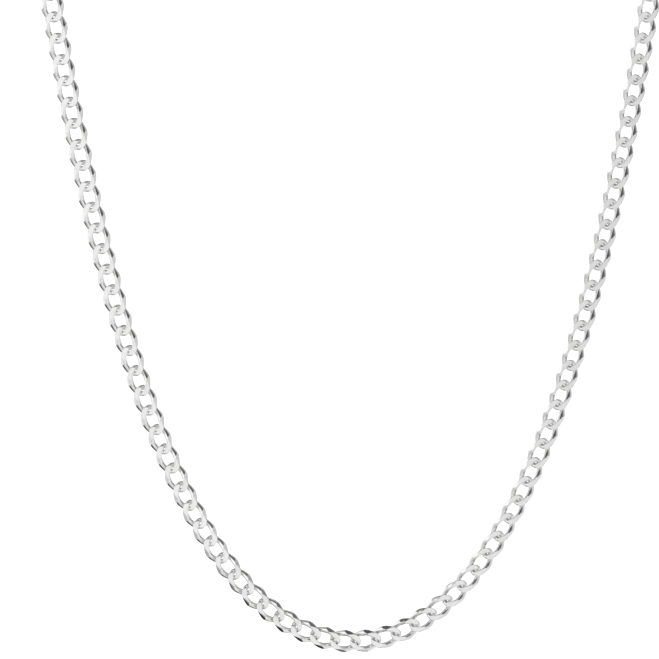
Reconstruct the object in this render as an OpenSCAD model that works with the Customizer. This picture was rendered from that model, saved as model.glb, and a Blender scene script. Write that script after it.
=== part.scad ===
// Curb chain necklace with a trigger clasp, hanging as it does when worn.
// Millimetres, +Z up, the front of the necklace faces -Y.
// The origin is on the inner face of the clasp, where the chain rests on the nape.

/* [Chain] */
// Length round the whole closed loop, clasp included
necklace_length = 558.8; // [540:0.1:590]
// Wanted distance from one link to the next, adjusted a little to close the loop
link_pitch = 4.24; // [4.2:0.01:4.6]
// Width of the flat chain
chain_w = 4.5; // [4.3:0.05:4.8]
// Diameter of the wire that each link is bent from
link_wire = 1.05; // [0.9:0.01:1.1]
// Slack between two links pulled apart
link_play = 0.2; // [0.2:0.01:0.3]
// Thickness of the chain after both faces are cut flat
chain_t = 1.4; // [1.3:0.05:1.8]
// How far each end of a link is twisted out of the flat
link_twist = 48; // [44:1:54]
// Squareness of a link before it is twisted, 2 is a plain oval
link_square = 2.5; // [2.4:0.1:3]

/* [Hang] */
// Radius of the bend at the lowest point of the front
drape_r = 23.2; // [22:0.1:30]
// Length of chain from the lowest point up to the shoulder bend
front_arm = 156; // [150:1:160]
// Height of the nape above the top of the front arms
nape_rise = 32; // [28:1:36]
// Reach of the bend over the shoulder
shoulder_reach = 40; // [38:1:46]
// Reach of the bend round the nape
nape_reach = 46; // [40:1:50]

/* [End tags] */
// From the middle of the soldered link to the middle of the tag's eye
tag_len = 6.8; // [6.4:0.1:8]
// Greatest width of a tag
tag_w = 3.5; // [3:0.1:4]
// Width of a tag's neck and eye
tag_neck_w = 1.45; // [1.2:0.05:1.6]
// Thickness of a tag
tag_t = 0.9; // [0.6:0.05:1]
// From the middle of the soldered link to the wide end of the tag
tag_start = 0.3; // [0.1:0.05:0.6]

/* [Jump ring] */
// Outside diameter of the jump ring
ring_od = 5.05; // [4.8:0.05:5.6]
// Diameter of the jump ring's wire
ring_wire = 0.85; // [0.7:0.05:0.95]

/* [Clasp] */
// From the middle of the tail eye to the middle of the hook's end bar
clasp_len = 11.6; // [11.2:0.1:13]
// Height of the clasp, across the chain
clasp_h = 4.2; // [4:0.1:4.8]
// Thickness of the clasp's housing
clasp_t = 2.3; // [2.1:0.05:2.8]
// Length of the housing, measured from the middle of the tail eye
housing_len = 7.1; // [6.8:0.1:7.3]
// Thickness of the housing's walls
clasp_wall = 0.4; // [0.3:0.05:0.45]
// Radius of the housing's two tail corners
corner_r = 1.2; // [0.5:0.1:1.2]
// Height of the stepped strip along the housing's lower edge
strip_h = 0.9; // [0.6:0.1:1.2]
// Depth of that step
strip_step = 0.12; // [0.05:0.01:0.2]
// Length of the tail eye, across the chain
tail_eye_w = 1.6; // [1.4:0.1:2]
// Diameter of the hook's bar
hook_d = 1.05; // [0.9:0.05:1.1]
// Gap between the tip of the lever and the tip of the hook
mouth_gap = 0.3; // [0.2:0.05:0.5]
// Straight length of the hook's tip, after its last bend
hook_return = 1.1; // [0.8:0.1:1.4]

/* [Lever] */
// Distance of the pivot back from the housing's hook end
pivot_back = 1.7; // [1.5:0.1:2.1]
// Diameter of the pivot pin
pin_d = 0.6; // [0.5:0.05:0.7]
// Diameter of the lever's hub
hub_d = 1.4; // [1.3:0.05:1.5]
// Width of the lever's stem
stem_w = 0.9; // [0.7:0.05:1]
// Height of the bar that closes the mouth
gate_h = 1.0; // [0.9:0.05:1.1]
// Height of the thumb tab
tab_h = 0.7; // [0.5:0.05:0.9]
// Length of the thumb tab beyond the pivot
tab_len = 3.6; // [2.6:0.1:3.8]
// How far the lever opens, in degrees
lever_open = 24; // [15:1:26]

/* [Clearances] */
// Gap round the pivot pin
pin_gap = 0.04; // [0.03:0.01:0.06]
// Gap between the lever and the housing
lever_gap = 0.15; // [0.12:0.01:0.18]
// Gap between a wire and the eye that it runs through
eye_gap = 0.22; // [0.2:0.01:0.26]
// Thickness of the metal curled round each eye
eye_wall = 0.3; // [0.25:0.05:0.35]

/* [Hidden] */

// Facets of a link: points round its loop, and sides of its wire
loop_points = 12;
wire_sides = 5;
// The five-sided wire is a little fatter, so that it looks as thick as the round one
wire_swell = 1.05;
// Smoothness of round solids
fine = 48;
// Steps along a curved outline or path
outline_steps = 14;
path_steps = 60;
// A cut runs this far past the metal that it cuts
over = 0.5;

ring_r = (ring_od - ring_wire) / 2;
ring_inner_r = ring_r - ring_wire / 2;

// The ring bends away from the middle of an eye, so it sits half of that to one side
function ring_shift(width) =
    (ring_inner_r - sqrt(ring_inner_r * ring_inner_r - width * width / 4)) / 2;

// The clasp assembly, measured between the two soldered links
ring_at = tag_len + ring_r - ring_shift(tag_neck_w);
clasp_at = ring_at + ring_r - ring_shift(tail_eye_w);
assembly = clasp_at + clasp_len + tag_len;
// The links fill the rest of the loop. Each half holds the same number of loose links,
// and the two lowest ones meet at the lowest point.
half_links = floor((necklace_length - assembly) / link_pitch / 2);
pitch = (necklace_length - assembly) / (2 * half_links + 1);
half_loop = necklace_length / 2;

// One link, before it is placed: a squarish oval, twisted about its length and cut flat.
half_len = (pitch + link_wire + link_play) / 2;
half_w = (chain_w - link_wire) / 2;

function power(v) = sign(v) * pow(abs(v), 2 / link_square);

function loop_centre(i) =
    let (a = 360 * i / loop_points,
         x = half_len * power(cos(a)),
         y = half_w * power(sin(a)),
         turn = link_twist * x / half_len)
    [x, y * cos(turn), y * sin(turn)];

function flat_cut(p) = [p.x, p.y, min(max(p.z, -chain_t / 2), chain_t / 2)];

function unit(v) = v / norm(v);

function wire_ring(i) =
    let (c = loop_centre(i),
         along = unit(loop_centre(i + 1) - loop_centre(i - 1)),
         turn = link_twist * c.x / half_len,
         out = unit(cross(along, [0, -sin(turn), cos(turn)])),
         side = cross(out, along))
    [for (k = [0:wire_sides - 1])
        let (a = 360 * (k + 0.5) / wire_sides)
        flat_cut(c + wire_swell * link_wire / 2 * (cos(a) * out + sin(a) * side))];

LINK = [for (i = [0:loop_points - 1]) each wire_ring(i)];
LINK_POINTS = len(LINK);

function link_faces(first) =
    [for (i = [0:loop_points - 1]) for (k = [0:wire_sides - 1])
        let (j = (i + 1) % loop_points,
             l = (k + 1) % wire_sides,
             a = first + i * wire_sides,
             b = first + j * wire_sides)
        each [[a + k, a + l, b + k], [a + l, b + l, b + k]]];

// The path of the right half, measured from the lowest point of the front.
// The front hangs in the plane y = 0 as a catenary, whose length is known exactly.
function hang_point(s) =
    let (r = sqrt(drape_r * drape_r + s * s))
    [drape_r * ln((s + r) / drape_r), 0, r - drape_r];

function hang_direction(s) = [drape_r, 0, s] / sqrt(drape_r * drape_r + s * s);

// From the top of the front arm a smooth curve goes over the shoulder to the nape.
ARM_TOP = hang_point(front_arm);
ARM_OUT = hang_direction(front_arm);
nape_z = ARM_TOP.z + nape_rise;
over_length = half_loop - front_arm - assembly / 2;

function over_point(u, depth) =
    let (v = 1 - u,
         b = ARM_TOP + shoulder_reach * ARM_OUT,
         d = [assembly / 2, depth, nape_z],
         c = d + [nape_reach, 0, 0])
    v * v * v * ARM_TOP + 3 * v * v * u * b + 3 * v * u * u * c + u * u * u * d;

function over_direction(u, depth) =
    unit(over_point(min(u + 0.001, 1), depth) - over_point(max(u - 0.001, 0), depth));

// Pairs of distance along the curve and place on it
function over_table(depth) =
    [for (i = 0, run = 0; i <= path_steps;
          run = run + norm(over_point((i + 1) / path_steps, depth)
                           - over_point(i / path_steps, depth)),
          i = i + 1)
        [run, i / path_steps]];

// The depth at which the curve uses up the length of chain that is left for it
function find_depth(low, high, tries) =
    let (mid = (low + high) / 2)
    tries == 0 ? mid
    : over_table(mid)[path_steps][0] < over_length ? find_depth(mid, high, tries - 1)
    : find_depth(low, mid, tries - 1);

nape_depth = find_depth(0, over_length, 30);
OVER = over_table(nape_depth);

function over_u(s) = lookup(s - front_arm, OVER);

function half_point(s) =
    s <= front_arm ? hang_point(s) : over_point(over_u(s), nape_depth);

function half_direction(s) =
    s <= front_arm ? hang_direction(s) : over_direction(over_u(s), nape_depth);

// The flat of the chain faces forward on the chest, up and out over the shoulder,
// and back at the nape.
function half_facing(s) =
    let (f = min(max((s - front_arm) / over_length, 0), 1),
         a = 180 * f * f * (3 - 2 * f),
         t = half_direction(s),
         n = [0.8 * sin(a), -cos(a), 0.7 * sin(a)])
    unit(n - (n * t) * t);

// A place on the loop as [point, direction, width direction, facing]
function place(s) =
    let (side = s < 0 ? -1 : 1,
         m = [side, 1, 1],
         p = half_point(abs(s)),
         t = half_direction(abs(s)),
         n = half_facing(abs(s)),
         point = [side * p.x, p.y - nape_depth + clasp_t / 2, p.z - nape_z],
         along = [t.x, side * t.y, side * t.z],
         facing = [side * n.x, n.y, n.z])
    [point, along, cross(facing, along), facing];

function link_at(s) =
    let (f = place(s))
    [for (p = LINK) f[0] + p.x * f[1] + p.y * f[2] + p.z * f[3]];

// The loose links of one half, side is -1 or 1
module loose_links(side) {
    polyhedron(
        points = [for (i = [0:half_links - 1]) each link_at(side * (i + 0.5) * pitch)],
        faces = [for (i = [0:half_links - 1]) each link_faces(i * LINK_POINTS)],
        convexity = 10);
}

module chain_left() {
    color("silver") loose_links(-1);
}

module chain_right() {
    color("silver") loose_links(1);
}

// The clasp lies along the nape. Its own frame has x from the ring end to the hook end,
// y up and z away from the neck.
module at_nape() {
    translate([assembly / 2, clasp_t / 2, 0]) rotate([90, 0, 180]) children();
}

// A curled eye round a wire, its hole across the chain, joined by a strap at its front
module eye_solid(wire, width, strap_end) {
    r = wire / 2 + eye_gap + eye_wall;
    rotate([90, 0, 0]) cylinder(r = r, h = width, center = true, $fn = fine);
    translate([0, -width / 2, r - 2 * eye_wall])
        cube([strap_end, width, 2 * eye_wall]);
}

module eye_hole(wire, width) {
    rotate([90, 0, 0])
        cylinder(r = wire / 2 + eye_gap, h = width + 2 * over, center = true, $fn = fine);
}

// Outline of a tag: a round wide end that narrows in a soft waist to the neck
function tag_outline(half) =
    let (r = tag_w / 2,
         x0 = tag_start + r,
         x1 = tag_len - half,
         round_end = [for (i = [0:outline_steps])
             let (a = 90 + 90 * i / outline_steps) [x0 + r * cos(a), r * sin(a)]],
         waist = [for (i = [0:outline_steps - 1])
             let (f = i / outline_steps)
             [x1 + (x0 - x1) * f,
              tag_neck_w / 2 + (r - tag_neck_w / 2) * (1 - cos(180 * f)) / 2]])
    concat(waist, round_end);

function mirrored(points) = [for (i = [len(points) - 1:-1:0]) [points[i].x, -points[i].y]];

module tag_metal(wire) {
    r = wire / 2 + eye_gap + eye_wall;
    upper = tag_outline(r / 2);
    difference() {
        union() {
            translate([0, 0, r - tag_t])
                linear_extrude(tag_t) polygon(concat(upper, mirrored(upper)));
            translate([tag_len, 0, 0]) mirror([1, 0, 0])
                eye_solid(wire, tag_neck_w, r);
        }
        translate([tag_len, 0, 0]) eye_hole(wire, tag_neck_w);
    }
}

module soldered_link() {
    polyhedron(points = LINK, faces = link_faces(0), convexity = 6);
}

module ring_end_tag() {
    color("silver") at_nape() {
        soldered_link();
        tag_metal(ring_wire);
    }
}

module hook_end_tag() {
    color("silver") at_nape() translate([assembly, 0, 0]) {
        soldered_link();
        mirror([1, 0, 0]) tag_metal(hook_d);
    }
}

module jump_ring() {
    color("silver") at_nape() translate([ring_at, 0, 0])
        rotate_extrude($fn = fine) translate([ring_r, 0]) circle(d = ring_wire, $fn = fine);
}

// Values that the housing, the hook and the lever share, from the middle of the tail eye
half_h = clasp_h / 2;
slot_w = clasp_t - 2 * clasp_wall;
lever_t = slot_w - 2 * lever_gap;
housing_x = ring_wire / 2 + eye_gap + lever_gap;
bar_y = half_h - hook_d / 2;
gate_y = -half_h + gate_h / 2;
// The end bar is straight along the tag's eye, but for the eye's own gap at each end
hook_bend_r = (bar_y - gate_y - tag_neck_w) / 2 + eye_gap;
hook_bend_x = clasp_len - hook_bend_r;
hook_tip_x = hook_bend_x - hook_return;
gate_tip_x = hook_tip_x - mouth_gap;
// The hub clears the housing's floor
pivot_x = housing_len - pivot_back;
pivot_y = -half_h + clasp_wall + lever_gap + hub_d / 2;
stem_right = pivot_x + stem_w / 2;
// The stem leaves through a slot in the top wall, long enough for the open lever
slot_right = stem_right + lever_gap;
slot_left = pivot_x - (half_h - pivot_y) * tan(lever_open)
    - stem_w / 2 / cos(lever_open) - lever_gap;

module housing_block() {
    length = housing_len - housing_x;
    translate([housing_x + corner_r, -half_h, -clasp_t / 2])
        cube([length - corner_r, clasp_h, clasp_t]);
    translate([housing_x, corner_r - half_h, -clasp_t / 2])
        cube([length, clasp_h - 2 * corner_r, clasp_t]);
    for (side = [-1, 1])
        translate([housing_x + corner_r, side * (half_h - corner_r), -clasp_t / 2])
            cylinder(r = corner_r, h = clasp_t, $fn = fine);
}

// The hollow inside the housing, open at the hook end and through the top slot
module housing_hollow() {
    inner_x = housing_x + 2 * clasp_wall;
    translate([inner_x, clasp_wall - half_h, -slot_w / 2])
        cube([slot_right - inner_x, clasp_h - 2 * clasp_wall, slot_w]);
    translate([pivot_x, clasp_wall - half_h, -slot_w / 2])
        cube([housing_len - pivot_x + over, clasp_h - clasp_wall - hook_d, slot_w]);
    translate([slot_left, half_h - clasp_wall - over, -slot_w / 2])
        cube([slot_right - slot_left, clasp_wall + 2 * over, slot_w]);
}

// The faces step in along the lower edge
module lower_step() {
    for (side = [-1, 1])
        translate([housing_x - over, -half_h - over,
                   side * (clasp_t / 2 - strip_step + over) - over])
            cube([housing_len + over, strip_h + over, 2 * over]);
}

module hook_bend() {
    rotate_extrude(angle = 90, $fn = fine)
        translate([hook_bend_r, 0]) circle(d = hook_d, $fn = fine);
}

module hook_bar(length) {
    rotate([0, 90, 0]) cylinder(d = hook_d, h = length, $fn = fine);
}

// The bar runs from the housing round the end and back towards the lever's tip
module hook() {
    top_y = bar_y - hook_bend_r;
    low_y = gate_y + hook_bend_r;
    translate([slot_right + clasp_wall, bar_y, 0])
        hook_bar(hook_bend_x - slot_right - clasp_wall);
    translate([hook_bend_x, top_y, 0]) hook_bend();
    translate([clasp_len, low_y, 0]) rotate([-90, 0, 0])
        cylinder(d = hook_d, h = top_y - low_y, $fn = fine);
    translate([hook_bend_x, low_y, 0]) rotate([0, 0, -90]) hook_bend();
    translate([hook_tip_x, gate_y, 0]) hook_bar(hook_return);
}

module pivot_pin() {
    length = slot_w + clasp_wall;
    translate([pivot_x, pivot_y, -length / 2])
        cylinder(d = pin_d, h = length, $fn = fine);
}

module clasp_body() {
    color("silver") at_nape() translate([clasp_at, 0, 0]) {
        difference() {
            union() {
                housing_block();
                eye_solid(ring_wire, tail_eye_w, housing_x + clasp_wall);
            }
            housing_hollow();
            lower_step();
            eye_hole(ring_wire, tail_eye_w);
        }
        hook();
        pivot_pin();
    }
}

// The lever in profile: gate, hub, stem and thumb tab are one flat piece
module lever_profile() {
    arm_top = gate_y + gate_h / 2;
    arm_low = -half_h + clasp_wall + lever_gap;
    gate_x = housing_len + lever_gap;
    tab_y = half_h + lever_gap;
    stem_left = pivot_x - stem_w / 2;
    polygon([[pivot_x, arm_low], [gate_x, arm_low], [gate_x, -half_h],
        [gate_tip_x, -half_h], [gate_tip_x, arm_top], [pivot_x, arm_top]]);
    polygon([[stem_left, pivot_y], [stem_right, pivot_y], [stem_right, tab_y],
        [pivot_x + tab_len - tab_h / 2, tab_y],
        [pivot_x + tab_len - tab_h / 2, tab_y + tab_h], [stem_left, tab_y + tab_h]]);
    translate([pivot_x, pivot_y]) circle(d = hub_d, $fn = fine);
    translate([pivot_x + tab_len - tab_h / 2, tab_y + tab_h / 2])
        circle(d = tab_h, $fn = fine);
}

module clasp_lever() {
    color("silver") at_nape() translate([clasp_at, 0, 0])
        difference() {
            translate([0, 0, -lever_t / 2]) linear_extrude(lever_t) lever_profile();
            translate([pivot_x, pivot_y, 0])
                cylinder(d = pin_d + 2 * pin_gap, h = lever_t + 2 * over, center = true,
                         $fn = fine);
        }
}

chain_left();
chain_right();
ring_end_tag();
hook_end_tag();
jump_ring();
clasp_body();
clasp_lever();
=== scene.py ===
import math
import random
from types import SimpleNamespace

import bmesh
import bpy
from mathutils import Matrix, Vector
from mathutils.kdtree import KDTree


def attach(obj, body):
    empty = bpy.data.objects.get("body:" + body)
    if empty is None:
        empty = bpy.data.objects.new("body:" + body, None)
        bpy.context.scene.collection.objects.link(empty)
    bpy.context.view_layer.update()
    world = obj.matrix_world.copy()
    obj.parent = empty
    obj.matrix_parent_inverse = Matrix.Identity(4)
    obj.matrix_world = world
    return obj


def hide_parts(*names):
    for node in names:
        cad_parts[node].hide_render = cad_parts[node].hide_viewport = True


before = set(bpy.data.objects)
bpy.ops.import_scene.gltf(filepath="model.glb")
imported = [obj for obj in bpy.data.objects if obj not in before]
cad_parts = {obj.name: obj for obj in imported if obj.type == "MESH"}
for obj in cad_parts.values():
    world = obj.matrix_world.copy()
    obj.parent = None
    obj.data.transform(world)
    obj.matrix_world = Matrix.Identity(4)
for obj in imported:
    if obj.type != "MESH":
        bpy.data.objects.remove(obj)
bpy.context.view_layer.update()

bl_info = {
    "name": "Curb chain necklace",
    "version": (1, 0, 0),
    "blender": (4, 5, 0),
    "location": "3D View > Sidebar > Necklace",
    "description": "Makes a curb chain necklace with a trigger clasp, hanging as it is worn",
    "category": "Add Mesh",
}

# Pieces are modelled in millimetres and finished in metres
MM = 0.001
FULL_TURN = 2 * math.pi
QUARTER_TURN = math.pi / 2
# How near two places in a mesh may be and still count as one, in millimetres
EXACT, CLOSE, WELD, SEAM = 1e-5, 1e-4, 1e-3, 2e-3
# The fold from which an edge is a rim that gets rounded
RIM_FOLD = math.radians(60)
# Sides of the ring and of the clasp's round bars
ROUND_SIDES = 20
# Start of the random draws by which the links sit out of line
SEED = 7


# Sizes and colours

def size(name, description, mm):
    """A length, given in millimetres and held in metres."""
    return bpy.props.FloatProperty(name=name, description=description, default=mm * MM,
                                   precision=5, unit="LENGTH")


def turn(name, description, degrees):
    """An angle, given in degrees and held in radians."""
    return bpy.props.FloatProperty(name=name, description=description,
                                   default=math.radians(degrees), unit="ROTATION")


def share(name, description, value, top=1.0):
    """A plain number from 0 up to top."""
    return bpy.props.FloatProperty(name=name, description=description, default=value,
                                   min=0.0, max=top, subtype="FACTOR" if top == 1.0 else "NONE")


def number(name, description, value):
    """A whole number of steps or facets."""
    return bpy.props.IntProperty(name=name, description=description, default=value, min=3)


def tint(name, description, colour):
    """A colour without its alpha."""
    return bpy.props.FloatVectorProperty(name=name, description=description, default=colour,
                                         size=3, min=0.0, max=1.0, subtype="COLOR")


class HangSizes(bpy.types.PropertyGroup):
    """The line in which the chain hangs."""
    length: size("Length", "Length round the whole closed loop, clasp included", 558.8)
    drape_r: size("Lowest bend", "Radius of the bend at the lowest point of the front", 23.2)
    front_arm: size("Front arm", "Chain from the lowest point up to the shoulder bend", 156)
    nape_rise: size("Nape rise", "Height of the nape above the top of the front arms", 32)
    shoulder_reach: size("Shoulder reach", "Reach of the bend over the shoulder", 40)
    nape_reach: size("Nape reach", "Reach of the bend round the nape", 46)


class ChainSizes(bpy.types.PropertyGroup):
    """One link, and how the links follow each other."""
    link_pitch: size("Pitch", "Wanted distance from one link to the next", 4.24)
    width: size("Width", "Width of the flat chain before its edges are cut", 4.7)
    wire: size("Wire", "Diameter of the wire that a link is bent from", 1.05)
    bar: size("Bar", "Width of a link's two long sides, where the wire is pressed flat", 1.3)
    play: size("Play", "Slack between two links pulled apart", 0.2)
    thick: size("Thickness", "Thickness after both faces are cut flat", 1.4)
    twist: turn("Twist", "How far each end of a link is twisted out of the flat", 48)
    square: share("Squareness", "Squareness of a link, 2 is a plain oval", 2.5, 4.0)
    side_cut: size("Side cut", "Depth of the slanted cuts along the chain's edges", 0.32)
    side_slant: turn("Side slant", "Slant of those cuts, away from the face", 45)
    rim: size("Rim", "Rounding of the cut faces' rims", 0.07)
    points: number("Points", "Steps round a link's loop", 36)
    sides: number("Sides", "Sides of a link's wire", 12)
    unrest: turn("Unrest", "How far a link may sit out of line", 1.4)


class TagSizes(bpy.types.PropertyGroup):
    """The two end tags and their curled eyes."""
    length: size("Length", "From the middle of the soldered link to the middle of the eye", 6.8)
    width: size("Width", "Greatest width of a tag", 3.5)
    neck: size("Neck", "Width of a tag's neck and eye", 1.45)
    thick: size("Thickness", "Thickness of a tag", 0.9)
    start: size("Start", "From the middle of the soldered link to the wide end", 0.3)
    eye_gap: size("Eye gap", "Gap between a wire and the eye that it runs through", 0.22)
    eye_wall: size("Eye wall", "Thickness of the metal curled round an eye", 0.3)
    round_off: size("Rounding", "Rounding of a tag's edges", 0.1)


class RingSizes(bpy.types.PropertyGroup):
    """The jump ring."""
    outside: size("Outside", "Outside diameter of the jump ring", 5.05)
    wire: size("Wire", "Diameter of the jump ring's wire", 0.85)
    seam: size("Seam", "Width of the seam where the ring is closed", 0.03)


class ClaspSizes(bpy.types.PropertyGroup):
    """The trigger clasp and its lever."""
    length: size("Length", "From the middle of the tail eye to the middle of the end bar", 11.6)
    height: size("Height", "Height of the clasp, across the chain", 4.2)
    thick: size("Thickness", "Thickness of the housing", 2.3)
    housing: size("Housing", "Length of the housing from the middle of the tail eye", 7.1)
    wall: size("Wall", "Thickness of the housing's walls", 0.4)
    corner: size("Corner", "Radius of the housing's two tail corners", 1.2)
    strip: size("Strip", "Height of the stepped strip along the lower edge", 0.9)
    step: size("Step", "Depth of that step", 0.12)
    tail_eye: size("Tail eye", "Length of the tail eye, across the chain", 1.6)
    hook: size("Hook", "Diameter of the hook's bar", 1.05)
    mouth: size("Mouth gap", "Gap between the lever's tip and the hook's tip", 0.3)
    hook_return: size("Hook return", "Straight length of the hook's tip", 1.1)
    pivot_back: size("Pivot", "Distance of the pivot from the housing's hook end", 1.7)
    pin: size("Pin", "Diameter of the pivot pin", 0.6)
    pin_gap: size("Pin gap", "Gap round the pivot pin", 0.04)
    hub: size("Hub", "Diameter of the lever's hub", 1.4)
    stem: size("Stem", "Width of the lever's stem", 0.9)
    gate: size("Gate", "Height of the bar that closes the mouth", 1.0)
    tab: size("Tab", "Height of the thumb tab", 0.7)
    tab_length: size("Tab length", "Length of the thumb tab beyond the pivot", 3.6)
    lever_gap: size("Lever gap", "Gap between the lever and the housing", 0.15)
    open_angle: turn("Opening", "How far the lever opens", 24)


class SilverLook(bpy.types.PropertyGroup):
    """The polished silver."""
    colour: tint("Silver", "Colour of the polished metal", (0.93, 0.93, 0.93))
    # The next two paint shade into the narrow gaps between parts: a dark grey mixed into the
    # silver's colour there
    gap_shade_colour: tint("Gap shade colour", "Colour of the painted shade deep between two links", (0.2, 0.195, 0.19))
    gap_shade_share: share("Gap shade share", "How strongly the narrow gaps are darkened", 0.6)
    gloss: share("Roughness", "Roughness of the polished metal", 0.1)
    wear: share("Wear", "Roughness that hairline scratches add", 0.16)
    ripple: size("Ripple", "Depth of the polish's waves and scratches", 0.06)


class StageLook(bpy.types.PropertyGroup):
    """The floor, the light and the camera."""
    floor: tint("Floor", "Colour of the floor", (0.92, 0.92, 0.91))
    floor_z: size("Floor height", "Height of the floor, below the lowest link", -215)
    floor_r: size("Floor radius", "Radius of the round floor", 4000)
    brightness: share("Brightness", "Brightness of the room round the necklace", 1.0, 4.0)
    key_power: share("Key light", "Power of the large soft light, in watts", 3.0, 100.0)
    camera_distance: size("Camera distance", "Distance from the camera to the drape", 400)
    camera_side: turn("Camera side", "How far the camera stands to the left", 5)
    camera_rise: turn("Camera rise", "How far the camera looks down", 5.2)
    camera_roll: turn("Camera roll", "How far the camera is rolled", -0.24)
    aim_height: size("Aim height", "Height of the picture's middle above the lowest link", 66)
    aim_left: size("Aim left", "How far the picture's middle lies left of that point", 5.075)
    aim_down: size("Aim down", "How far the picture's middle lies below that point", 1.638)
    lens: bpy.props.FloatProperty(name="Lens", description="Focal length of the camera",
                                  default=108.05, unit="CAMERA")


GROUPS = {"hang": HangSizes, "chain": ChainSizes, "tags": TagSizes, "ring": RingSizes,
          "clasp": ClaspSizes, "silver": SilverLook, "stage": StageLook}


def read(key):
    """The values of one property group, its lengths in millimetres."""
    group = getattr(bpy.context.scene, "necklace_" + key)
    values = {}
    for name in group.__annotations__:
        value = getattr(group, name)
        is_length = group.bl_rna.properties[name].unit == "LENGTH"
        values[name] = value / MM if is_length else value
    return SimpleNamespace(**values)


# The line of the chain

def ring_shift(ring, width):
    """How far the ring sits to one side, because it bends away from an eye's middle."""
    inner = ring.outside / 2 - ring.wire
    return (inner - math.sqrt(inner * inner - width * width / 4)) / 2


def assembly():
    """Where the pieces of the clasp assembly sit, from the ring's side to the hook's side."""
    tags, ring, clasp = read("tags"), read("ring"), read("clasp")
    ring_r = (ring.outside - ring.wire) / 2
    ring_at = tags.length + ring_r - ring_shift(ring, tags.neck)
    clasp_at = ring_at + ring_r - ring_shift(ring, clasp.tail_eye)
    return SimpleNamespace(ring_r=ring_r, ring_at=ring_at, clasp_at=clasp_at,
                           length=clasp_at + clasp.length + tags.length)


def at_nape():
    """From the clasp's own frame, x to the hook end, y up, z away from the neck."""
    half, lift = assembly().length / 2, read("clasp").thick / 2
    return Matrix(((-1, 0, 0, half), (0, 0, 1, lift), (0, 1, 0, 0), (0, 0, 0, 1)))


class Line:
    """The closed line on which the links sit, measured from the lowest point.

    Its depth is found in tries, so that the curve over the shoulder has the length left for it."""

    steps = 60
    tries = 30

    def __init__(self):
        self.hang, chain = read("hang"), read("chain")
        gap = assembly().length
        self.gap_half = gap / 2
        self.half_links = int((self.hang.length - gap) / chain.link_pitch / 2)
        self.pitch = (self.hang.length - gap) / (2 * self.half_links + 1)
        self.over_length = self.hang.length / 2 - self.hang.front_arm - self.gap_half
        self.top = self.hang_point(self.hang.front_arm)
        self.out = self.hang_direction(self.hang.front_arm)
        self.nape_z = self.top.z + self.hang.nape_rise
        self.lift = read("clasp").thick / 2
        low, high = 0.0, self.over_length
        for _ in range(self.tries):
            self.depth = (low + high) / 2
            if self.over_table()[-1][0] < self.over_length:
                low = self.depth
            else:
                high = self.depth
        self.depth = (low + high) / 2
        self.table = self.over_table()

    def hang_point(self, s):
        """The front hangs as a catenary."""
        c = self.hang.drape_r
        r = math.hypot(c, s)
        return Vector((c * math.log((s + r) / c), 0, r - c))

    def hang_direction(self, s):
        """The direction of the catenary at s."""
        return Vector((self.hang.drape_r, 0, s)).normalized()

    def over_point(self, u):
        """A smooth curve goes over the shoulder to the nape."""
        v = 1 - u
        b = self.top + self.hang.shoulder_reach * self.out
        d = Vector((self.gap_half, self.depth, self.nape_z))
        c = d + Vector((self.hang.nape_reach, 0, 0))
        return v ** 3 * self.top + 3 * v * v * u * b + 3 * v * u * u * c + u ** 3 * d

    def over_table(self):
        """Pairs of distance along that curve and place on it."""
        points = [self.over_point(i / self.steps) for i in range(self.steps + 1)]
        table, run = [(0.0, 0.0)], 0.0
        for i in range(self.steps):
            run += (points[i + 1] - points[i]).length
            table.append((run, (i + 1) / self.steps))
        return table

    def over_u(self, s):
        """The place on that curve at a distance."""
        for (a, u), (b, v) in zip(self.table, self.table[1:]):
            if s <= b:
                return u + (v - u) * (s - a) / (b - a)
        return 1.0

    def place(self, s):
        """The frame of the link at s: x along the chain, y across it, z out of its face."""
        side, away = (-1 if s < 0 else 1), abs(s)
        if away <= self.hang.front_arm:
            point, along = self.hang_point(away), self.hang_direction(away)
        else:
            u, near = self.over_u(away - self.hang.front_arm), 0.001
            point = self.over_point(u)
            along = (self.over_point(min(u + near, 1))
                     - self.over_point(max(u - near, 0))).normalized()
        # Over the shoulder the face turns from the front to the back, by way of out and up
        f = min(max((away - self.hang.front_arm) / self.over_length, 0), 1)
        a = math.pi * f * f * (3 - 2 * f)
        outward, upward = 0.8, 0.7
        facing = Vector((outward * math.sin(a), -math.cos(a), upward * math.sin(a)))
        facing = (facing - facing.dot(along) * along).normalized()
        point = Vector((side * point.x, point.y - self.depth + self.lift,
                        point.z - self.nape_z))
        along = Vector((along.x, side * along.y, side * along.z))
        facing = Vector((side * facing.x, facing.y, facing.z))
        matrix = Matrix((along, facing.cross(along), facing)).transposed().to_4x4()
        matrix.translation = point
        return matrix


# Mesh tools

def everything(bm):
    """All parts of a bmesh, for the operators that want them in one list."""
    return bm.verts[:] + bm.edges[:] + bm.faces[:]


def only_verts(parts):
    """The vertices among what an operator gives back."""
    return [part for part in parts if isinstance(part, bmesh.types.BMVert)]


def only_edges(parts):
    """The edges among what an operator gives back."""
    return [part for part in parts if isinstance(part, bmesh.types.BMEdge)]


def cut_flat(bm, point, normal):
    """Cuts away what lies outside a plane, and closes the cut with sharp edges."""
    cut = bmesh.ops.bisect_plane(bm, geom=everything(bm), dist=EXACT, plane_co=point,
                                 plane_no=normal, clear_outer=True)["geom_cut"]
    edges = only_edges(cut)
    for edge in edges:
        edge.smooth = False
    bmesh.ops.edgeloop_fill(bm, edges=edges)


def bevel_edges(bm, edges, width):
    """Rounds edges by a width."""
    bmesh.ops.bevel(bm, geom=edges, offset=width, offset_type="OFFSET", segments=2,
                    profile=0.5, affect="EDGES", clamp_overlap=True, material=-1)


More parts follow.
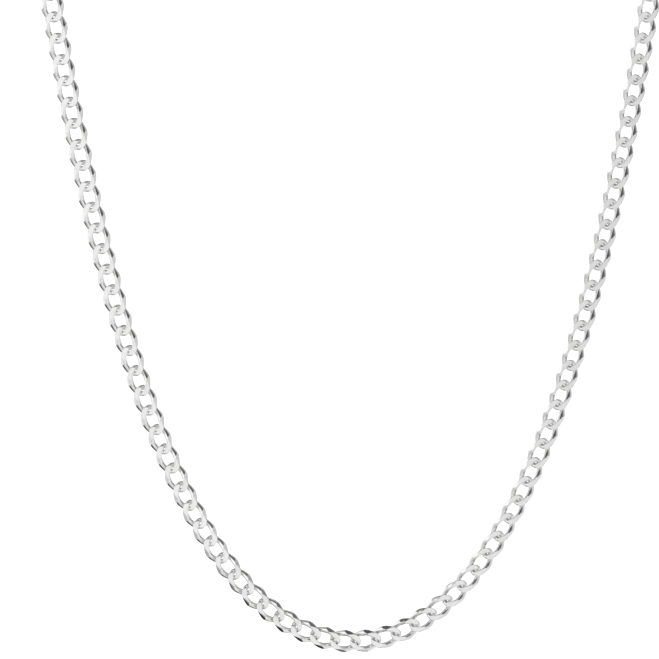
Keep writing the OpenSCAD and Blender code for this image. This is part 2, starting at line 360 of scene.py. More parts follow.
def outline_plate(points, low, high, round_off, hole=None, square_end=None):
    """A plate from its outline, from low to high. Its rims are rounded, but not at the x of a
    square end. A hole is (x, y, radius)."""
    bm = bmesh.new()
    corners = [bm.verts.new((x, y, low)) for x, y in points]
    edges = [bm.edges.new((a, b)) for a, b in zip(corners, corners[1:] + corners[:1])]
    if hole:
        x, y, radius = hole
        bmesh.ops.create_circle(bm, segments=32, radius=radius,
                                matrix=Matrix.Translation((x, y, low)))
        edges = bm.edges[:]
    bmesh.ops.triangle_fill(bm, edges=edges, use_beauty=True, use_dissolve=not hole)
    risen = bmesh.ops.extrude_face_region(bm, geom=bm.faces[:])["geom"]
    bmesh.ops.translate(bm, vec=(0, 0, high - low), verts=only_verts(risen))
    bmesh.ops.recalc_face_normals(bm, faces=bm.faces)

    def at_square_end(edge):
        return square_end and all(abs(v.co.x - square_end) < EXACT for v in edge.verts)

    rims = [e for e in bm.edges if len(e.link_faces) == 2 and e.calc_face_angle() > RIM_FOLD
            and abs(e.verts[0].co.z - e.verts[1].co.z) < EXACT and not at_square_end(e)]
    bevel_edges(bm, rims, round_off)
    return bm


def arc(x, y, radius, start, end, steps):
    """Points on an arc, from one angle to another, in degrees."""
    turns = [math.radians(start + (end - start) * i / steps) for i in range(steps + 1)]
    return [(x + radius * math.cos(a), y + radius * math.sin(a)) for a in turns]


def add_mesh(bm, other, matrix=None):
    """Adds a second bmesh to the first, and frees it."""
    if matrix:
        bmesh.ops.transform(other, matrix=matrix, verts=other.verts)
    mesh = bpy.data.meshes.new("joined")
    other.to_mesh(mesh)
    other.free()
    bm.from_mesh(mesh)
    bpy.data.meshes.remove(mesh)


class Rod:
    """A round bar that grows from a circle, along its own heading."""

    def __init__(self, radius, start, heading):
        self.bm, self.radius = bmesh.new(), radius
        self.heading = Vector(heading).normalized()
        self.end = Vector(start)
        turned = self.heading.to_track_quat("Z", "X").to_matrix().to_4x4()
        bmesh.ops.create_circle(self.bm, segments=ROUND_SIDES, radius=radius,
                                matrix=Matrix.Translation(self.end) @ turned)
        self.rim = self.bm.edges[:]
        bmesh.ops.contextual_create(self.bm, geom=self.rim)

    def grow(self, distance, scale=1.0):
        """Straight on, and narrower or wider by scale."""
        made = bmesh.ops.extrude_edge_only(self.bm, edges=self.rim)["geom"]
        verts = only_verts(made)
        rim = set(verts)
        self.rim = [e for e in only_edges(made) if e.verts[0] in rim and e.verts[1] in rim]
        bmesh.ops.translate(self.bm, vec=self.heading * distance, verts=verts)
        self.end = self.end + self.heading * distance
        if scale != 1.0:
            bmesh.ops.scale(self.bm, vec=(scale,) * 3, verts=verts,
                            space=Matrix.Translation(-self.end))
        return self

    def bend(self, centre, axis, degrees, steps=10):
        """Round a centre, by an angle."""
        verts = list(dict.fromkeys(v for e in self.rim for v in e.verts))
        made = bmesh.ops.spin(self.bm, geom=verts + self.rim, cent=centre, axis=axis,
                              angle=math.radians(degrees), steps=steps,
                              use_merge=False)["geom_last"]
        self.rim = only_edges(made)
        turned = Matrix.Rotation(math.radians(degrees), 3, axis)
        self.end = Vector(centre) + turned @ (self.end - Vector(centre))
        self.heading = turned @ self.heading
        return self

    def close(self, steps=5):
        """Ends the bar in a half ball."""
        last = 1.0
        for i in range(1, steps):
            a, b = (QUARTER_TURN * j / steps for j in (i - 1, i))
            wide = math.cos(b)
            self.grow(self.radius * (math.sin(b) - math.sin(a)), wide / last)
            last = wide
        made = bmesh.ops.contextual_create(self.bm, geom=self.rim)
        bmesh.ops.poke(self.bm, faces=made["faces"],
                       offset=self.radius * (1 - math.sin(b)))
        return self.bm


def make_piece(bm, name, body, nodes, matrix=None, sharp=38):
    """Turns a bmesh in millimetres into a silver piece, which rides on a body.

    Edges that fold by more than sharp, in degrees, stay sharp. With None the marked ones do."""
    bmesh.ops.remove_doubles(bm, verts=bm.verts, dist=CLOSE)
    if matrix:
        bmesh.ops.transform(bm, matrix=matrix, verts=bm.verts)
    bmesh.ops.scale(bm, vec=(MM,) * 3, verts=bm.verts)
    for face in bm.faces:
        face.smooth = True
    mesh = bpy.data.meshes.new(name)
    bm.to_mesh(mesh)
    bm.free()
    if sharp:
        mesh.set_sharp_from_angle(angle=math.radians(sharp))
    mesh.materials.append(silver())
    piece = bpy.data.objects.new(name, mesh)
    bpy.context.scene.collection.objects.link(piece)
    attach(piece, body)
    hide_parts(*nodes)


# Silver

class Value:
    """A number that varies over the surface. Python's operators add its Math nodes."""

    def __init__(self, finish, socket):
        self.finish, self.socket = finish, socket

    def maths(self, operation, *others):
        """One Math node, with this value as its first input."""
        return self.finish.node("ShaderNodeMath", {"operation": operation},
                                {i: v for i, v in enumerate((self, *others))})

    def __add__(self, other):
        return self.maths("ADD", other)

    def __sub__(self, other):
        return self.maths("SUBTRACT", other)

    def __rsub__(self, other):
        return self.finish.node("ShaderNodeMath", {"operation": "SUBTRACT"},
                                {0: other, 1: self})

    def __mul__(self, other):
        return self.maths("MULTIPLY", other)

    def __pow__(self, other):
        return self.maths("POWER", other)

    __radd__, __rmul__ = __add__, __mul__

    def limited(self):
        """Kept between 0 and 1."""
        return self.maths("MINIMUM", 1.0).maths("MAXIMUM", 0.0)

    def ramp(self, low, high, to_low=0.0, to_high=1.0):
        """Smoothly from to_low to to_high as the value goes from low to high."""
        return self.finish.node("ShaderNodeMapRange",
                                {"interpolation_type": "SMOOTHSTEP"},
                                {"Value": self, "From Min": low, "From Max": high,
                                 "To Min": to_low, "To Max": to_high})


class Finish:
    """The node tree of a material or of the room."""

    def __init__(self, tree):
        self.tree = tree
        tree.nodes.clear()

    def node(self, kind, settings=None, sockets=None, output=0):
        """A node with its settings, then the values or links of its sockets."""
        made = self.tree.nodes.new(kind)
        for key, value in (settings or {}).items():
            setattr(made, key, value)
        for key, value in (sockets or {}).items():
            if isinstance(value, Value):
                self.tree.links.new(value.socket, made.inputs[key])
            else:
                made.inputs[key].default_value = value
        return Value(self, made.outputs[output]) if made.outputs else made


def silver():
    """Polished silver with soft waves and hairline scratches, and painted shade in the narrow
    gaps.
    """
    name = "polished_silver"
    if name in bpy.data.materials:
        return bpy.data.materials[name]
    look = read("silver")
    material = bpy.data.materials.new(name)
    material.use_nodes = True
    finish = Finish(material.node_tree)
    place = finish.node("ShaderNodeTexCoord", output="Object")

    def noise(scale, detail, stretch=None):
        """Noise over the piece. A stretch is how it is turned, and how dense it is each way."""
        at = place
        if stretch:
            turned, dense = stretch
            at = finish.node("ShaderNodeMapping", sockets={"Vector": place, "Rotation": turned,
                                                           "Scale": dense})
        return finish.node("ShaderNodeTexNoise", sockets={"Vector": at, "Scale": scale,
                                                          "Detail": detail})

    # How near a point lies to a neighbouring part; it drives the painted shade in the gaps
    gap_shade = finish.node("ShaderNodeAttribute", {"attribute_name": "gap_shade"}, output="Fac")
    waves = noise(420, 2)
    cloud = noise(160, 3).ramp(0.35, 0.65)
    hair = [noise(1, 1, ((0.3, 0.2, 0.4), (26000, 1100, 26000))),
            noise(1, 1, ((0.9, 1.1, -0.5), (24000, 24000, 900))),
            noise(1, 1, ((-0.6, 0.5, 1.2), (1000, 28000, 28000)))]
    first, *more = [strand.ramp(0.66, 0.78) for strand in hair]
    scratches = sum(more, first)
    fading, dulled, scratch_depth = 1.5, (0.965, 0.962, 0.955, 1), -0.01
    # Painted shade: the colour goes towards dark grey in the narrow gaps, which are also made
    # rougher
    shade = (gap_shade ** fading) * look.gap_shade_share
    colour = finish.node("ShaderNodeMix", {"data_type": "RGBA"},
                         {0: shade, 6: (*look.colour, 1), 7: (*look.gap_shade_colour, 1)}, output=2)
    toned = finish.node("ShaderNodeMix", {"data_type": "RGBA", "blend_type": "MULTIPLY"},
                        {0: cloud * 0.5, 6: colour, 7: dulled}, output=2)
    roughness = look.gloss + cloud * 0.05 + scratches * look.wear + shade * 0.5
    height = waves + scratches * scratch_depth
    bump = finish.node("ShaderNodeBump", sockets={"Strength": 1.0, "Distance": look.ripple * MM,
                                                  "Height": height})
    surface = finish.node("ShaderNodeBsdfPrincipled", sockets={
        "Base Color": toned, "Metallic": 1.0, "Roughness": roughness.limited(), "Normal": bump})
    finish.node("ShaderNodeOutputMaterial", sockets={"Surface": surface})
    return material


# The chain

def power(value, square):
    """The signed power by which an oval becomes squarish."""
    return math.copysign(abs(value) ** (2 / square), value)


class Link:
    """One fine link: round wire bent to a squarish oval, twisted, and cut flat."""

    def __init__(self, pitch):
        self.chain = chain = read("chain")
        self.pitch = pitch
        self.half_len = (pitch + chain.wire + chain.play) / 2
        self.half_w = (chain.width - chain.bar) / 2

    def middle(self, a):
        """A point on the wire's middle line."""
        x = self.half_len * power(math.cos(a), self.chain.square)
        y = self.half_w * power(math.sin(a), self.chain.square)
        twist = self.chain.twist * x / self.half_len
        return Vector((x, y * math.cos(twist), y * math.sin(twist)))

    def wire_frame(self, a):
        """The wire's middle at a, and the directions outward and sideways there."""
        near = 0.02
        along = (self.middle(a + near) - self.middle(a - near)).normalized()
        centre = self.middle(a)
        twist = self.chain.twist * centre.x / self.half_len
        out = along.cross(Vector((0, -math.sin(twist), math.cos(twist)))).normalized()
        return centre, out, out.cross(along)

    def even_turns(self):
        """The angles that divide the wire's middle line into equal steps."""
        fine, slack = 720, 1e-6
        points = [self.middle(FULL_TURN * i / fine) for i in range(fine + 1)]
        turns, run = [], 0.0
        step = sum((b - a).length for a, b in zip(points, points[1:])) / self.chain.points
        for i, (a, b) in enumerate(zip(points, points[1:])):
            if run >= step * len(turns) - slack:
                turns.append(FULL_TURN * i / fine)
            run += (b - a).length
        return turns

    def bmesh(self):
        """The whole link: a plain round ring, whose points are then moved to the link's wire."""
        chain = self.chain
        bm, spun = bmesh.new(), 3 * chain.wire
        upright = Matrix.Translation((spun, 0, 0)) @ Matrix.Rotation(QUARTER_TURN, 4, "X")
        bmesh.ops.create_circle(bm, segments=chain.sides, radius=chain.wire / 2, matrix=upright)
        bmesh.ops.spin(bm, geom=everything(bm), cent=(0, 0, 0), axis=(0, 0, 1),
                       angle=FULL_TURN, steps=chain.points, use_merge=True)
        turns = self.even_turns()
        for v in bm.verts:
            a = turns[round(math.atan2(v.co.y, v.co.x) / FULL_TURN * chain.points)]
            centre, out, side = self.wire_frame(a)
            # The wire is pressed flat along the two long sides
            pressed = 1 + (chain.bar / chain.wire - 1) * abs(math.sin(a)) ** 3
            v.co = (centre + (math.hypot(v.co.x, v.co.y) - spun) * pressed * out
                    + v.co.z * side)
        bmesh.ops.recalc_face_normals(bm, faces=bm.faces)
        for face_side in (-1, 1):
            cut_flat(bm, (0, 0, face_side * chain.thick / 2), (0, 0, face_side))
        reach = self.reach(chain.side_slant) - chain.side_cut
        for face_side in (-1, 1):
            for edge_side in (-1, 1):
                normal = Vector((0, edge_side * math.sin(chain.side_slant),
                                 face_side * math.cos(chain.side_slant)))
                cut_flat(bm, normal * reach, normal)
        self.mark_gap_shade(bm, self.soften_rims(bm))
        return bm

    def soften_rims(self, bm):
        """Rounds the rims of the two cut faces, and returns the corners left on those faces."""
        rim, top = self.chain.rim, self.chain.thick / 2
        level, skin, drop = 0.999, 0.01, 0.8 * rim
        bm.normal_update()
        flats = [f for f in bm.faces if abs(f.normal.z) > level
                 and abs(f.calc_center_median().z) > top - skin]
        lowered = {v for f in flats for v in f.verts}
        for edge in {e for f in flats for e in f.edges}:
            edge.smooth = True
        bmesh.ops.inset_individual(bm, faces=flats, thickness=rim, use_even_offset=True)
        for v in lowered:
            v.co.z -= math.copysign(drop, v.co.z)
        for edge in {e for f in flats for e in f.edges}:
            edge.smooth = False
        return {v for f in flats for v in f.verts}

    def reach(self, slant):
        """How far the wire reaches in a slanted direction."""
        steps = 90
        return self.chain.wire / 2 + max(
            self.middle(FULL_TURN * i / steps).dot(Vector((0, math.sin(slant), math.cos(slant))))
            for i in range(steps))

    def mark_gap_shade(self, bm, polished):
        """Stores how close each point is to a neighbouring link, for the painted shade in the
        narrow gaps. Cut faces get none of it.
        """
        layer = bm.verts.layers.float.new("gap_shade")
        steps, near = 64, 0.5  # near is where the darkening starts, in millimetres
        tree = KDTree(2 * steps)
        for i in range(steps):
            for j, side in enumerate((-1, 1)):
                shifted = self.middle(FULL_TURN * i / steps) + Vector((side * self.pitch, 0, 0))
                tree.insert(shifted, 2 * i + j)
        tree.balance()
        for v in bm.verts:
            gap = tree.find(v.co)[2] - self.chain.wire / 2
            v[layer] = 0 if v in polished else 1 - min(max(gap / near, 0), 1)


class NECKLACE_OT_chain(bpy.types.Operator):
    """Makes the loose links of both halves"""
    bl_idname = "necklace.chain"
    bl_label = "Make the chain"

    def execute(self, context):
        line = Line()
        unrest = read("chain").unrest
        rock = 0.5
        draw = random.Random(SEED)
        for side, name in ((-1, "chain_left"), (1, "chain_right")):
            fine = bpy.data.meshes.new("link")
            link = Link(line.pitch).bmesh()
            link.to_mesh(fine)
            link.free()
            bm = bmesh.new()
            for i in range(line.half_links):
                tilt = (Matrix.Rotation(draw.uniform(-unrest, unrest), 4, "X")
                        @ Matrix.Rotation(draw.uniform(-unrest, unrest) * rock, 4, "Y"))
                placed = fine.copy()
                placed.transform(line.place(side * (i + 0.5) * line.pitch) @ tilt)
                bm.from_mesh(placed)
                bpy.data.meshes.remove(placed)
            bpy.data.meshes.remove(fine)
            make_piece(bm, name + "_links", "necklace", [name], sharp=None)
        return {"FINISHED"}


# The end tags

def curled_eye(inner, outer, reach, thick, width, round_off):
    """A strap that runs in from +x and curls round an eye at the origin, open by a slit."""
    slit, steps = 12, 30  # the slit in degrees
    side = ([(reach, outer)] + arc(0, 0, outer, 90, 360 - slit, steps)
            + arc(0, 0, inner, 360 - slit, slit, steps)
            + [(outer, max(inner * math.sin(math.radians(slit)), outer - thick)),
               (reach, outer - thick)])
    bm = outline_plate(side, -width / 2, width / 2, round_off, square_end=reach)
    bmesh.ops.rotate(bm, cent=(0, 0, 0), matrix=Matrix.Rotation(QUARTER_TURN, 3, "X"),
                     verts=bm.verts)
    return bm


def tag_metal(wire):
    """A tag in its own frame: wide end at the soldered link, eye at x = length."""
    tags = read("tags")
    inner = wire / 2 + tags.eye_gap
    outer = inner + tags.eye_wall
    r, neck_r = tags.width / 2, tags.neck / 2
    strap_length, straight = 0.45, 0.05
    strap = inner + strap_length
    x0, x1 = tags.start + r, tags.length - strap
    steps = 14
    waist = [(x1 + (x0 - x1) * i / steps,
              neck_r + (r - neck_r) * (1 - math.cos(math.pi * i / steps)) / 2)
             for i in range(1, steps)]
    upper = [(x1, neck_r), (x1 - straight, neck_r)] + waist
    upper += arc(x0, 0, r, 90, 180, steps)
    lower = [(x, -y) for x, y in reversed(upper[:-1])]
    bm = outline_plate(upper + lower, outer - tags.thick, outer, tags.round_off,
                       square_end=x1)
    eye = curled_eye(inner, outer, strap, tags.thick, tags.neck, tags.round_off)
    add_mesh(bm, eye, Matrix.Translation((tags.length, 0, 0))
             @ Matrix.Rotation(math.pi, 4, "Z"))
    ends = [f for f in bm.faces if all(abs(v.co.x - x1) < CLOSE for v in f.verts)]
    bmesh.ops.delete(bm, geom=ends, context="FACES")
    bmesh.ops.remove_doubles(bm, verts=bm.verts, dist=SEAM)
    return bm


class NECKLACE_OT_end_tags(bpy.types.Operator):
    """Makes the two end tags, each with its soldered link"""
    bl_idname = "necklace.end_tags"
    bl_label = "Make the end tags"

    def execute(self, context):
        pitch = Line().pitch
        far = Matrix.Translation((assembly().length, 0, 0))
        ends = (("ring_end_tag", read("ring").wire, Matrix.Identity(4), Matrix.Identity(4)),
                ("hook_end_tag", read("clasp").hook, far, far @ Matrix.Scale(-1, 4, (1, 0, 0))))
        for name, wire, link_at, tag_at in ends:
            bm = bmesh.new()
            tag = tag_metal(wire)
            bmesh.ops.transform(tag, matrix=tag_at, verts=tag.verts)
            bmesh.ops.recalc_face_normals(tag, faces=tag.faces)
            add_mesh(bm, tag)
            add_mesh(bm, Link(pitch).bmesh(), link_at)
            make_piece(bm, name + "_metal", "necklace", [name], at_nape())
        return {"FINISHED"}


# The jump ring

class NECKLACE_OT_jump_ring(bpy.types.Operator):
    """Makes the jump ring, with the seam where it is closed"""
    bl_idname = "necklace.jump_ring"
    bl_label = "Make the jump ring"

    def execute(self, context):
        ring, places = read("ring"), assembly()
        bm = bmesh.new()
        seam, seam_at, cap_round = ring.seam / places.ring_r, math.radians(118), 0.03
        upright = (Matrix.Rotation(seam_at, 4, "Z")
                   @ Matrix.Translation((places.ring_r, 0, 0))
                   @ Matrix.Rotation(QUARTER_TURN, 4, "X"))
        bmesh.ops.create_circle(bm, segments=ROUND_SIDES, radius=ring.wire / 2,
                                matrix=upright)
        first = bm.edges[:]
        last = bmesh.ops.spin(bm, geom=everything(bm), cent=(0, 0, 0), axis=(0, 0, 1),
                              angle=FULL_TURN - seam, steps=72, use_merge=False)["geom_last"]
        for rim in (first, only_edges(last)):
            bmesh.ops.contextual_create(bm, geom=rim)
        bmesh.ops.recalc_face_normals(bm, faces=bm.faces)
        caps = [e for e in bm.edges if e.calc_face_angle(0) > RIM_FOLD]
        bevel_edges(bm, caps, cap_round)
        make_piece(bm, "jump_ring_wire", "necklace", ["jump_ring"],
                   at_nape() @ Matrix.Translation((places.ring_at, 0, 0)))
        return {"FINISHED"}


# The clasp

def clasp_places():
    """Places that the housing, the hook and the lever share, from the tail eye's middle."""
    clasp, tags, ring = read("clasp"), read("tags"), read("ring")
    p = SimpleNamespace(half=clasp.height / 2, slot=clasp.thick - 2 * clasp.wall)
    p.start = ring.wire / 2 + tags.eye_gap + clasp.lever_gap
    p.bar_y = p.half - clasp.hook / 2
    p.gate_y = -p.half + clasp.gate / 2
    p.bend_r = (p.bar_y - p.gate_y - tags.neck) / 2 + tags.eye_gap
    p.bend_x = clasp.length - p.bend_r
    p.tip_x = p.bend_x - clasp.hook_return
    p.gate_x = p.tip_x - clasp.mouth
    p.pivot_x = clasp.housing - clasp.pivot_back
    p.pivot_y = -p.half + clasp.wall + clasp.lever_gap + clasp.hub / 2
    p.slot_right = p.pivot_x + clasp.stem / 2 + clasp.lever_gap
    p.slot_left = (p.pivot_x - (p.half - p.pivot_y) * math.tan(clasp.open_angle)
                   - clasp.stem / 2 / math.cos(clasp.open_angle) - clasp.lever_gap)
    return p


def housing(clasp, p):
    """The hollow housing: open at the hook end and through the slot on top."""
    bm = bmesh.new()
    back = clasp.thick / 2
    corners = [bm.verts.new(at) for at in
               ((p.start, -p.half, -back), (clasp.housing, -p.half, -back),
                (clasp.housing, p.half, -back), (p.start, p.half, -back))]
    bm.faces.new(corners)
    bmesh.ops.bevel(bm, geom=[corners[0], corners[3]], offset=clasp.corner,
                    offset_type="OFFSET", segments=8, profile=0.5, affect="VERTICES",
                    material=-1)
    risen = bmesh.ops.extrude_face_region(bm, geom=bm.faces[:])["geom"]
    bmesh.ops.translate(bm, vec=(0, 0, clasp.thick), verts=only_verts(risen))
    bmesh.ops.recalc_face_normals(bm, faces=bm.faces)
    strip_y, mouth_y = -p.half + clasp.strip, p.half - clasp.hook
    slope, lip = clasp.step, (back - clasp.wall) * 0.9
    skin, facing, fold, edge_round = 0.01, 0.9, math.radians(50), 0.07
    for normal, places in (
            ((0, 1, 0), (strip_y, strip_y - slope, strip_y - 2 * slope, mouth_y)),
            ((1, 0, 0), (p.slot_left, p.slot_right)),
            ((0, 0, 1), (lip, -lip))):
        for at in places:
            bmesh.ops.bisect_plane(bm, geom=everything(bm), dist=EXACT,
                                   plane_co=at * Vector(normal), plane_no=normal)
    # Painted shade: the step's inner corner is marked so that the silver darkens there into a dark
    # line along the strip
    gap_shade = bm.verts.layers.float.new("gap_shade")
    for v in bm.verts:
        if v.co.y < strip_y - slope / 2 and abs(v.co.z) > back - skin:
            v.co.z = math.copysign(back - clasp.step, v.co.z)
            v[gap_shade] = 1 if v.co.y > strip_y - 1.5 * slope else 0
    bm.normal_update()
    gone = []
    for face in bm.faces:
        at = face.calc_center_median()
        slot = (face.normal.y > facing and p.slot_left < at.x < p.slot_right
                and abs(at.z) < lip)
        mouth = face.normal.x > facing and at.y < mouth_y
        if slot or mouth:
            gone.append(face)
    bmesh.ops.delete(bm, geom=gone, context="FACES")
    bmesh.ops.solidify(bm, geom=everything(bm), thickness=clasp.wall)
    bmesh.ops.remove_doubles(bm, verts=bm.verts, dist=WELD)
    bmesh.ops.recalc_face_normals(bm, faces=bm.faces)
    edges = [e for e in bm.edges if len(e.link_faces) == 2 and e.calc_face_angle() > fold]
    bevel_edges(bm, edges, edge_round)
    return bm


class NECKLACE_OT_clasp_body(bpy.types.Operator):
    """Makes the clasp's housing with its tail eye, hook and pivot pin"""
    bl_idname = "necklace.clasp_body"
    bl_label = "Make the clasp"

    def execute(self, context):
        clasp, tags, ring, p = read("clasp"), read("tags"), read("ring"), clasp_places()
        bm = housing(clasp, p)
        inner = ring.wire / 2 + tags.eye_gap
        outer, eye_round = inner + tags.eye_wall, 0.08
        add_mesh(bm, curled_eye(inner, outer, p.start + clasp.wall / 2, 2 * tags.eye_wall,
                                clasp.tail_eye, eye_round))
        hook = Rod(clasp.hook / 2, (clasp.housing - clasp.wall / 2, p.bar_y, 0), (1, 0, 0))
        top_y, low_y = p.bar_y - p.bend_r, p.gate_y + p.bend_r
        hook.grow(p.bend_x - clasp.housing + clasp.wall / 2)
        hook.bend((p.bend_x, top_y, 0), (0, 0, 1), -90)
        hook.grow(top_y - low_y)
        hook.bend((p.bend_x, low_y, 0), (0, 0, 1), -90)
        hook.grow(clasp.hook_return - clasp.hook / 4)
        hook.close()
        bmesh.ops.recalc_face_normals(hook.bm, faces=hook.bm.faces)
        add_mesh(bm, hook.bm)
        pin = bmesh.new()
        bmesh.ops.create_cone(pin, cap_ends=True, segments=24, radius1=clasp.pin / 2,
                              radius2=clasp.pin / 2, depth=p.slot + clasp.wall,
                              matrix=Matrix.Translation((p.pivot_x, p.pivot_y, 0)))
        add_mesh(bm, pin)
        make_piece(bm, "clasp_body_metal", "necklace", ["clasp_body"],
                   at_nape() @ Matrix.Translation((assembly().clasp_at, 0, 0)))
        return {"FINISHED"}


class NECKLACE_OT_clasp_lever(bpy.types.Operator):
    """Makes the clasp's lever with its gate bar and thumb tab"""
    bl_idname = "necklace.clasp_lever"
    bl_label = "Make the lever"

    def execute(self, context):
        clasp, p = read("clasp"), clasp_places()
        hub_r = clasp.hub / 2
        arm_top = p.gate_y + clasp.gate / 2
        arm_low = -p.half + clasp.wall + clasp.lever_gap
        gate_start = clasp.housing + clasp.lever_gap
        tab_y = p.half + clasp.lever_gap
        left, right = p.pivot_x - clasp.stem / 2, p.pivot_x + clasp.stem / 2
        tab_end = p.pivot_x + clasp.tab_length
        tip_r = clasp.gate / 2
        stem_turn = math.degrees(math.acos(clasp.stem / 2 / hub_r))
        arm_turn = math.degrees(math.asin((arm_top - p.pivot_y) / hub_r))
        tip_x, tip_flat = p.gate_x - tip_r * 0.6, tip_r * 0.45
        fillet, nose, dip, edge_round = 0.3, clasp.tab / 2, 0.03, 0.09
        nose_r = nose * 0.8
        # Round the gate bar's tip, up the stem, round the thumb tab, and back to the hub
        outline = [(gate_start, -p.half)]
        outline += arc(tip_x, p.gate_y, tip_r, -90, -30, 4)[:-1]
        outline += [(p.gate_x, p.gate_y - tip_flat), (p.gate_x, p.gate_y + tip_flat)]
        outline += arc(tip_x, p.gate_y, tip_r, 30, 90, 4)[1:]
        outline += arc(p.pivot_x, p.pivot_y, hub_r, arm_turn, stem_turn, 6)
        outline += arc(right + fillet, tab_y - fillet, fillet, 180, 90, 5)
        outline += [(tab_end - 3 * nose, tab_y), (tab_end - 1.6 * nose, tab_y - dip)]
        outline += arc(tab_end - nose_r, tab_y + nose * 0.7, nose_r, -90, 60, 8)
        outline += [(tab_end - 2.2 * nose, tab_y + clasp.tab - dip),
                    (tab_end - 4 * nose, tab_y + clasp.tab)]
        outline += arc(left + nose, tab_y + nose, nose, 90, 180, 6)
        outline += arc(p.pivot_x, p.pivot_y, hub_r, 180 - stem_turn, 270, 12)
        outline += [(gate_start, arm_low)]
        thick = p.slot - 2 * clasp.lever_gap
        bm = outline_plate(outline, -thick / 2, thick / 2, edge_round,
                           (p.pivot_x, p.pivot_y, clasp.pin / 2 + clasp.pin_gap))
        make_piece(bm, "clasp_lever_metal", "lever", ["clasp_lever"],
                   at_nape() @ Matrix.Translation((assembly().clasp_at, 0, 0)))
        return {"FINISHED"}


# The stage

def light_room(stage):
    """Plain white light from all round. Only reflections see a room, with darker parts."""
    world = bpy.data.worlds.new("studio")
    bpy.context.scene.world = world
    world.use_nodes = True
    room = Finish(world.node_tree)
    towards = room.node("ShaderNodeTexCoord", output="Generated")

    def towards_side(direction):
        """How far a direction of the room leans to one side, from -1 to 1."""
        return room.node("ShaderNodeVectorMath", {"operation": "DOT_PRODUCT"},
                         {0: towards, 1: direction}, output="Value")

    def patch(direction, edge, middle, strength):
        """A soft round patch of the room, in one direction."""
        return towards_side(direction).ramp(edge, middle) * strength

    rise, side = towards_side((0, 0, 1)), towards_side((1, 0, 0))
    ahead, behind = towards_side((0, -1, 0)), patch((0, 1, 0), 0.3, 0.9, 0.15)
    right, left = side.ramp(-0.25, 0.55), side.ramp(-0.2, -0.9)
    below, above = rise.ramp(-0.05, -0.45), rise.ramp(0.02, 0.3)
    uneven = room.node("ShaderNodeTexNoise", sockets={"Vector": towards, "Scale": 3.0,
                                                      "Detail": 1.0})
    # The walls are greyer to the right, behind, and on the left above and below eye level
    walls = 0.88 + uneven * 0.2 - right * (0.34 - below * 0.2) - behind
    walls = walls - left * (below * 0.3 + above * 0.18)
    # The ceiling is dark, most of all ahead and behind, apart from an opening to the right
    ends = ahead.ramp(0.15, 0.42) + ahead.ramp(-0.4, -0.6)
    opening = patch((0.70, -0.02, 0.71), 0.95, 0.985, 1.0)
    ceiling = (rise - left * 0.2).ramp(0.3, 0.66) * (1 - opening) * 0.92
    ceiling = ceiling * (0.45 + ends * 0.55)
    # The floor is grey, and lighter to the right
    ground = rise.ramp(-0.35, -0.95) * (0.4 - right * 0.35)
    # A dark patch below, and three bright ones: above the right, low left, and left ahead
    rug = patch((-0.28, 0.05, -0.96), 0.86, 0.99, 0.6)
    lamp = patch((0.4, -0.5, 0.77), 0.94, 0.99, 0.08)
    window = patch((-0.94, -0.05, -0.33), 0.92, 0.99, 0.14)
    doors = patch((-0.88, -0.43, 0.22), 0.89, 0.97, 0.22)
    bright = walls * (1 - ceiling) + (lamp + window + doors - ground - rug)
    darkest, plain_light = 0.03, 1.3
    bright = bright.maths("MAXIMUM", darkest) * stage.brightness
    shown = room.node("ShaderNodeLightPath", output="Is Glossy Ray")
    plain, seen = (room.node("ShaderNodeBackground", sockets={"Color": (1, 1, 1, 1),
                                                              "Strength": strength})
                   for strength in (plain_light, bright))
    surface = room.node("ShaderNodeMixShader", sockets={0: shown, 1: plain, 2: seen})
    room.node("ShaderNodeOutputWorld", sockets={"Surface": surface})


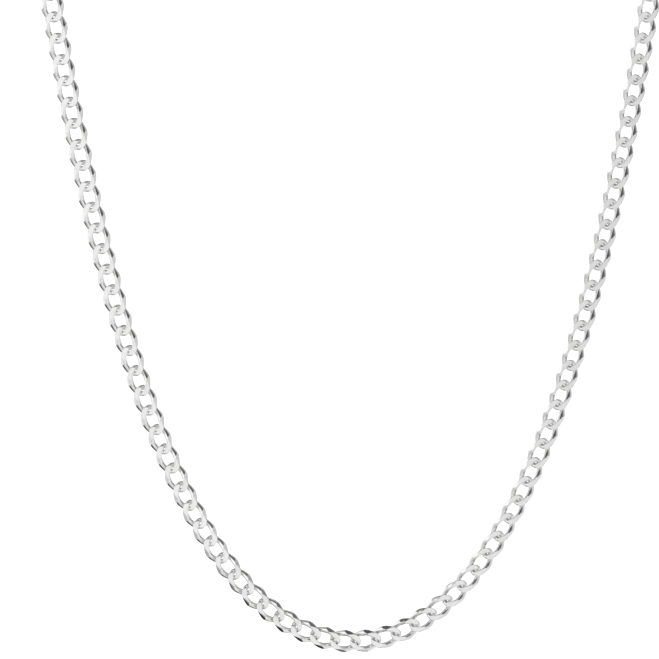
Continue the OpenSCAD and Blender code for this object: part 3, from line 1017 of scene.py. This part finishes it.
class NECKLACE_OT_stage(bpy.types.Operator):
    """Makes the floor, the light and the camera"""
    bl_idname = "necklace.stage"
    bl_label = "Make the stage"

    def execute(self, context):
        stage, scene = read("stage"), context.scene
        light_room(stage)
        bm = bmesh.new()
        bmesh.ops.create_circle(bm, cap_ends=True, segments=96, radius=stage.floor_r * MM,
                                matrix=Matrix.Translation((0, 0, stage.floor_z * MM)))
        mesh = bpy.data.meshes.new("floor")
        bm.to_mesh(mesh)
        bm.free()
        floor = bpy.data.objects.new("floor", mesh)
        scene.collection.objects.link(floor)
        material = bpy.data.materials.new("floor_paper")
        material.use_nodes = True
        finish = Finish(material.node_tree)
        surface = finish.node("ShaderNodeBsdfPrincipled", sockets={
            "Base Color": (*stage.floor, 1), "Roughness": 0.9})
        finish.node("ShaderNodeOutputMaterial", sockets={"Surface": surface})
        mesh.materials.append(material)
        floor.visible_glossy = False

        # The large soft light stands to the upper left, in metres
        place, aim, width = Vector((-0.75, -0.55, 0.35)), Vector((0, 0, -0.1)), 0.5
        lamp = bpy.data.lights.new("softbox", "AREA")
        lamp.shape, lamp.size, lamp.energy = "DISK", width, stage.key_power
        softbox = bpy.data.objects.new("softbox", lamp)
        softbox.location = place
        softbox.rotation_euler = (aim - softbox.location).to_track_quat("-Z", "Y").to_euler()
        softbox.visible_glossy = False
        scene.collection.objects.link(softbox)

        lens = bpy.data.cameras.new("camera")
        lens.lens, lens.clip_start, lens.clip_end = stage.lens, 0.01, 50
        camera = bpy.data.objects.new("camera", lens)
        side, rise, roll = stage.camera_side, stage.camera_rise, stage.camera_roll
        ahead = Vector((math.sin(side) * math.cos(rise), math.cos(side) * math.cos(rise),
                        -math.sin(rise)))
        right = Vector((math.cos(side), -math.sin(side), 0))
        up = right.cross(ahead)
        low = Line().place(0).translation
        middle = low + Vector((0, 0, stage.aim_height))
        target = middle - stage.aim_left * right - stage.aim_down * up
        camera.location = (middle - ahead * stage.camera_distance) * MM
        facing = (target * MM - camera.location).to_track_quat("-Z", "Y")
        camera.rotation_euler = (facing.to_matrix()
                                 @ Matrix.Rotation(roll, 3, "Z")).to_euler()
        scene.collection.objects.link(camera)
        scene.camera = camera
        scene.view_settings.view_transform = "Standard"
        return {"FINISHED"}


class NECKLACE_PT_panel(bpy.types.Panel):
    """Lists the pieces and their sizes"""
    bl_idname = "NECKLACE_PT_panel"
    bl_label = "Necklace"
    bl_space_type = "VIEW_3D"
    bl_region_type = "UI"
    bl_category = "Necklace"

    def draw(self, context):
        for step in STEPS:
            self.layout.operator(step.bl_idname)
        for key, group in GROUPS.items():
            box = self.layout.box()
            box.label(text=key.capitalize())
            for name in group.__annotations__:
                box.prop(getattr(context.scene, "necklace_" + key), name)


STEPS = (NECKLACE_OT_chain, NECKLACE_OT_end_tags, NECKLACE_OT_jump_ring,
         NECKLACE_OT_clasp_body, NECKLACE_OT_clasp_lever, NECKLACE_OT_stage)
CLASSES = (*GROUPS.values(), *STEPS, NECKLACE_PT_panel)


def register():
    """Adds the classes, and the property groups to the scene."""
    for made in CLASSES:
        bpy.utils.register_class(made)
    for key, group in GROUPS.items():
        setattr(bpy.types.Scene, "necklace_" + key, bpy.props.PointerProperty(type=group))


def unregister():
    """Takes them away again."""
    for key in GROUPS:
        delattr(bpy.types.Scene, "necklace_" + key)
    for made in reversed(CLASSES):
        bpy.utils.unregister_class(made)


def main():
    """Makes every piece and the stage."""
    register()
    bpy.ops.necklace.chain()
    bpy.ops.necklace.end_tags()
    bpy.ops.necklace.jump_ring()
    bpy.ops.necklace.clasp_body()
    bpy.ops.necklace.clasp_lever()
    bpy.ops.necklace.stage()


if __name__ == "__main__":
    main()
